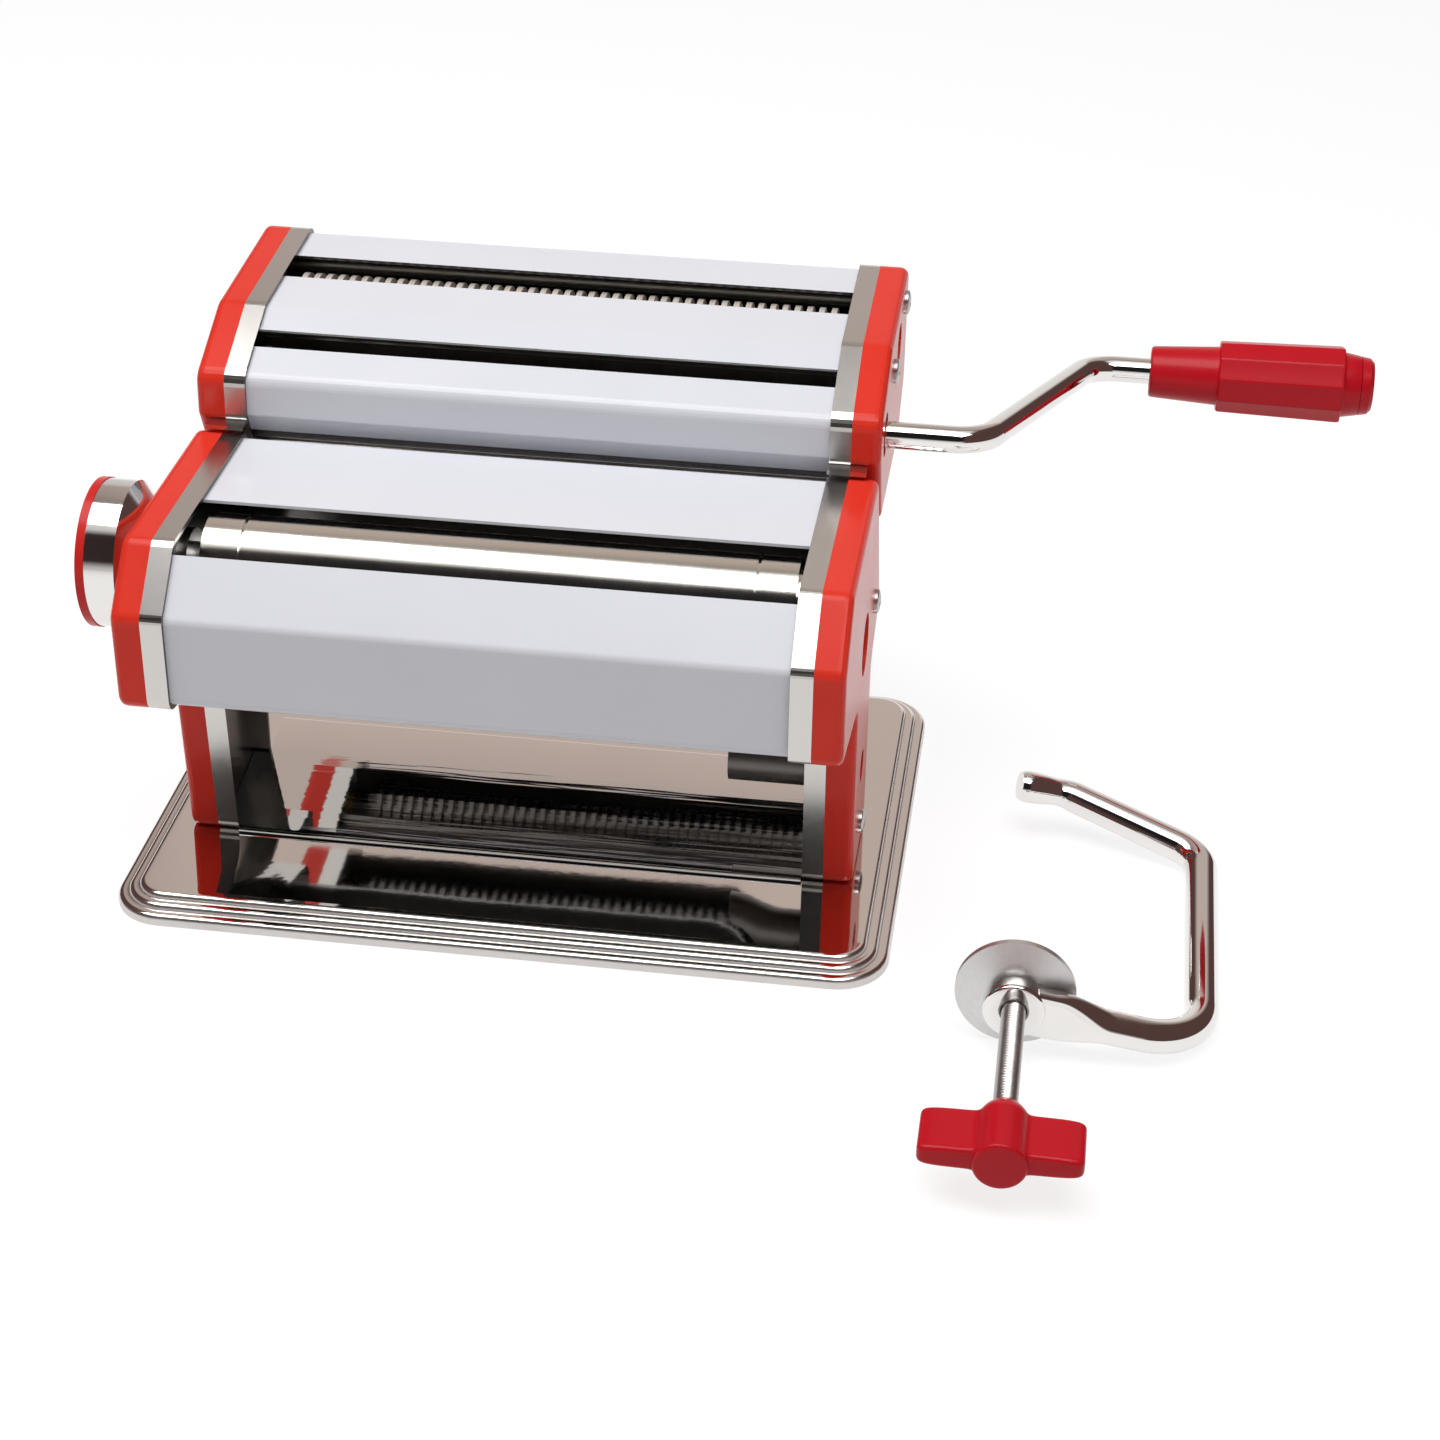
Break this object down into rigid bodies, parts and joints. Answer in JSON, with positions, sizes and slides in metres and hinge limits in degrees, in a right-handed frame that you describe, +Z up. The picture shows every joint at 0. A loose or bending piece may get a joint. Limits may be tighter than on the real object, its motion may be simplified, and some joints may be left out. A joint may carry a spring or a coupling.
{
  "type": "pasta machine",
  "caption": "Hand cranked pasta machine with smooth sheet rollers, a regulator knob, a lift-off two-width cutter unit, a plug-in crank and a loose table clamp.",
  "frame": {"origin": "middle of the base plate's footprint on the table", "axes": "+X along the rollers towards the crank, +Y to the back, +Z up"},
  "size_m": [0.3242, 0.2482, 0.1382],
  "materials": {
    "red_plastic": "gloss",
    "white_enamel": "gloss",
    "chrome": "polished",
    "steel": "satin",
    "brass": "satin",
    "rubber": "matte"
  },
  "bodies": {
    "frame": {"base_plate": "chrome", "rubber_feet": "rubber", "left_side_plate": "chrome", "right_side_plate": "chrome", "left_side_cover": "red_plastic", "right_side_cover": "red_plastic", "front_guard": "white_enamel", "rear_guard": "white_enamel", "tie_rods": "steel", "front_scraper": "steel", "rear_scraper": "steel", "main_bushes": "brass", "cutter_rails": "chrome", "clamp_socket": "steel", "cover_screws": "steel"},
    "rear_roller_set": {"rear_roller": "chrome", "rear_roller_gear": "steel"},
    "regulator": {"regulator_shaft": "steel", "knob_retainer": "steel"},
    "sleeves": {"roller_sleeves": "brass"},
    "front_roller_set": {"front_roller": "chrome", "front_roller_gear": "steel"},
    "knob": {"regulator_knob": "chrome", "knob_cap": "red_plastic", "knob_pin": "steel", "knob_spring": "steel"},
    "cutter": {"cutter_left_plate": "chrome", "cutter_right_plate": "chrome", "cutter_left_cover": "red_plastic", "cutter_right_cover": "red_plastic", "cutter_front_guard": "white_enamel", "cutter_middle_guard": "white_enamel", "cutter_rear_guard": "white_enamel", "cutter_tie_rods": "steel", "cutter_bushes": "brass", "cutter_screws": "steel", "hanger_plate": "chrome", "wide_front_comb": "steel", "wide_rear_comb": "steel", "narrow_front_comb": "steel", "narrow_rear_comb": "steel"},
    "wide_drive": {"wide_drive_roller": "steel", "wide_drive_gear": "steel"},
    "wide_idle": {"wide_idle_roller": "steel", "wide_idle_gear": "steel"},
    "narrow_drive": {"narrow_drive_roller": "steel", "narrow_drive_gear": "steel"},
    "narrow_idle": {"narrow_idle_roller": "steel", "narrow_idle_gear": "steel"},
    "crank": {"crank_rod": "chrome"},
    "grip": {"crank_grip": "red_plastic", "grip_plug": "red_plastic"},
    "clamp": {"clamp_frame": "chrome"},
    "pad": {"clamp_pad": "chrome"},
    "spindle": {"clamp_screw": "steel", "clamp_wing": "red_plastic"}
  },
  "joints": [
    {"name": "main_drive", "type": "hinge", "parent": "frame", "child": "rear_roller_set", "pos_m": [0, -0.02344, 0.07425], "axis": [1, 0, 0], "continuous": true},
    {"name": "regulator_turn", "type": "hinge", "parent": "frame", "child": "regulator", "pos_m": [0, -0.0405, 0.0932], "axis": [1, 0, 0], "range_deg": [0, 180]},
    {"name": "sleeve_turn", "type": "hinge", "parent": "regulator", "child": "sleeves", "pos_m": [0, -0.0413, 0.09409], "axis": [1, 0, 0], "range_deg": [-180, 0]},
    {"name": "front_roller_spin", "type": "hinge", "parent": "sleeves", "child": "front_roller_set", "pos_m": [0, -0.0413, 0.09409], "axis": [1, 0, 0], "continuous": true},
    {"name": "knob_pull", "type": "slide", "parent": "regulator", "child": "knob", "axis": [-1, 0, 0], "range_m": [0, 0.0045], "stiffness_N_per_m": 900, "springref_m": -0.002, "deforming": ["knob_spring"]},
    {"name": "cutter_lift", "type": "slide", "parent": "frame", "child": "cutter", "axis": [0, -0.4226, 0.9063], "range_m": [0, 0.04]},
    {"name": "wide_drive_spin", "type": "hinge", "parent": "cutter", "child": "wide_drive", "pos_m": [0, 0.0145, 0.1156], "axis": [1, 0, 0], "continuous": true},
    {"name": "wide_idle_spin", "type": "hinge", "parent": "cutter", "child": "wide_idle", "pos_m": [0, 0.02777, 0.10631], "axis": [1, 0, 0], "continuous": true},
    {"name": "narrow_drive_spin", "type": "hinge", "parent": "cutter", "child": "narrow_drive", "pos_m": [0, 0.05, 0.1254], "axis": [1, 0, 0], "continuous": true},
    {"name": "narrow_idle_spin", "type": "hinge", "parent": "cutter", "child": "narrow_idle", "pos_m": [0, 0.06327, 0.11611], "axis": [1, 0, 0], "continuous": true},
    {"name": "crank_pull", "type": "slide", "parent": "wide_drive", "child": "crank", "axis": [1, 0, 0], "range_m": [0, 0.03]},
    {"name": "grip_spin", "type": "hinge", "parent": "crank", "child": "grip", "pos_m": [0, 0.08404, 0.10755], "axis": [1, 0, 0], "continuous": true},
    {"name": "clamp_lift", "type": "slide", "parent": "frame", "child": "clamp", "axis": [0, 0, 1], "range_m": [0, 0.015]},
    {"name": "pad_feed", "type": "slide", "parent": "clamp", "child": "pad", "axis": [0, 1, 0], "range_m": [0, 0.03]},
    {"name": "screw_turn", "type": "hinge", "parent": "pad", "child": "spindle", "pos_m": [0.136, -0.092, 0.015], "axis": [0, 1, 0], "range_deg": [0, 5400]}
  ],
  "couplings": [
    {"joint": "front_roller_spin", "follows": "main_drive", "ratio": -1},
    {"joint": "sleeve_turn", "follows": "regulator_turn", "ratio": -1},
    {"joint": "wide_idle_spin", "follows": "wide_drive_spin", "ratio": -1},
    {"joint": "narrow_idle_spin", "follows": "narrow_drive_spin", "ratio": -1},
    {"joint": "screw_turn", "follows": "pad_feed", "rad_per_m": 3141.6}
  ]
}
